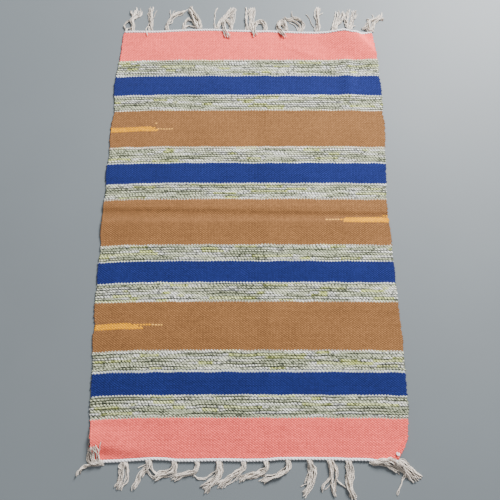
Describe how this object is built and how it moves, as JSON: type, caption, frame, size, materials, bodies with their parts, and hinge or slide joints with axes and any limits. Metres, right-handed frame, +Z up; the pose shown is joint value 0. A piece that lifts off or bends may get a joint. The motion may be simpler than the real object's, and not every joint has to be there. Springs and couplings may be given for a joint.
{
  "type": "rug",
  "caption": "Flat-woven cotton rug with cross stripes, white headings and knotted tassel fringe, lying on a floor with a few low folds.",
  "frame": {"origin": "on the floor under the middle of the cloth, the middle of the box around the whole rug", "axes": "+Z up from the floor, +Y along the rug's length towards its far end, +X across it to the right"},
  "size_m": [0.6489, 1.1164, 0.0171],
  "materials": {
    "striped_cotton": "matt flat-woven cotton in cross stripes of dusty pink, mottled off-white and grey, blue and tan",
    "white_heading": "matt white twined cotton",
    "fringe_yarn": "soft undyed cotton yarn, plied and slightly frayed"
  },
  "bodies": {
    "root": {"rug_field": "striped_cotton", "heading_far": "white_heading", "heading_near": "white_heading", "tassel_far_01": "fringe_yarn", "tassel_far_02": "fringe_yarn", "tassel_far_03": "fringe_yarn", "tassel_far_04": "fringe_yarn", "tassel_far_05": "fringe_yarn", "tassel_far_06": "fringe_yarn", "tassel_far_07": "fringe_yarn", "tassel_far_08": "fringe_yarn", "tassel_far_09": "fringe_yarn", "tassel_far_10": "fringe_yarn", "tassel_far_11": "fringe_yarn", "tassel_far_12": "fringe_yarn", "tassel_far_13": "fringe_yarn", "tassel_far_14": "fringe_yarn", "tassel_far_15": "fringe_yarn", "tassel_near_01": "fringe_yarn", "tassel_near_02": "fringe_yarn", "tassel_near_03": "fringe_yarn", "tassel_near_04": "fringe_yarn", "tassel_near_05": "fringe_yarn", "tassel_near_06": "fringe_yarn", "tassel_near_07": "fringe_yarn", "tassel_near_08": "fringe_yarn", "tassel_near_09": "fringe_yarn", "tassel_near_10": "fringe_yarn", "tassel_near_11": "fringe_yarn", "tassel_near_12": "fringe_yarn", "tassel_near_13": "fringe_yarn", "tassel_near_14": "fringe_yarn"}
  },
  "joints": []
}
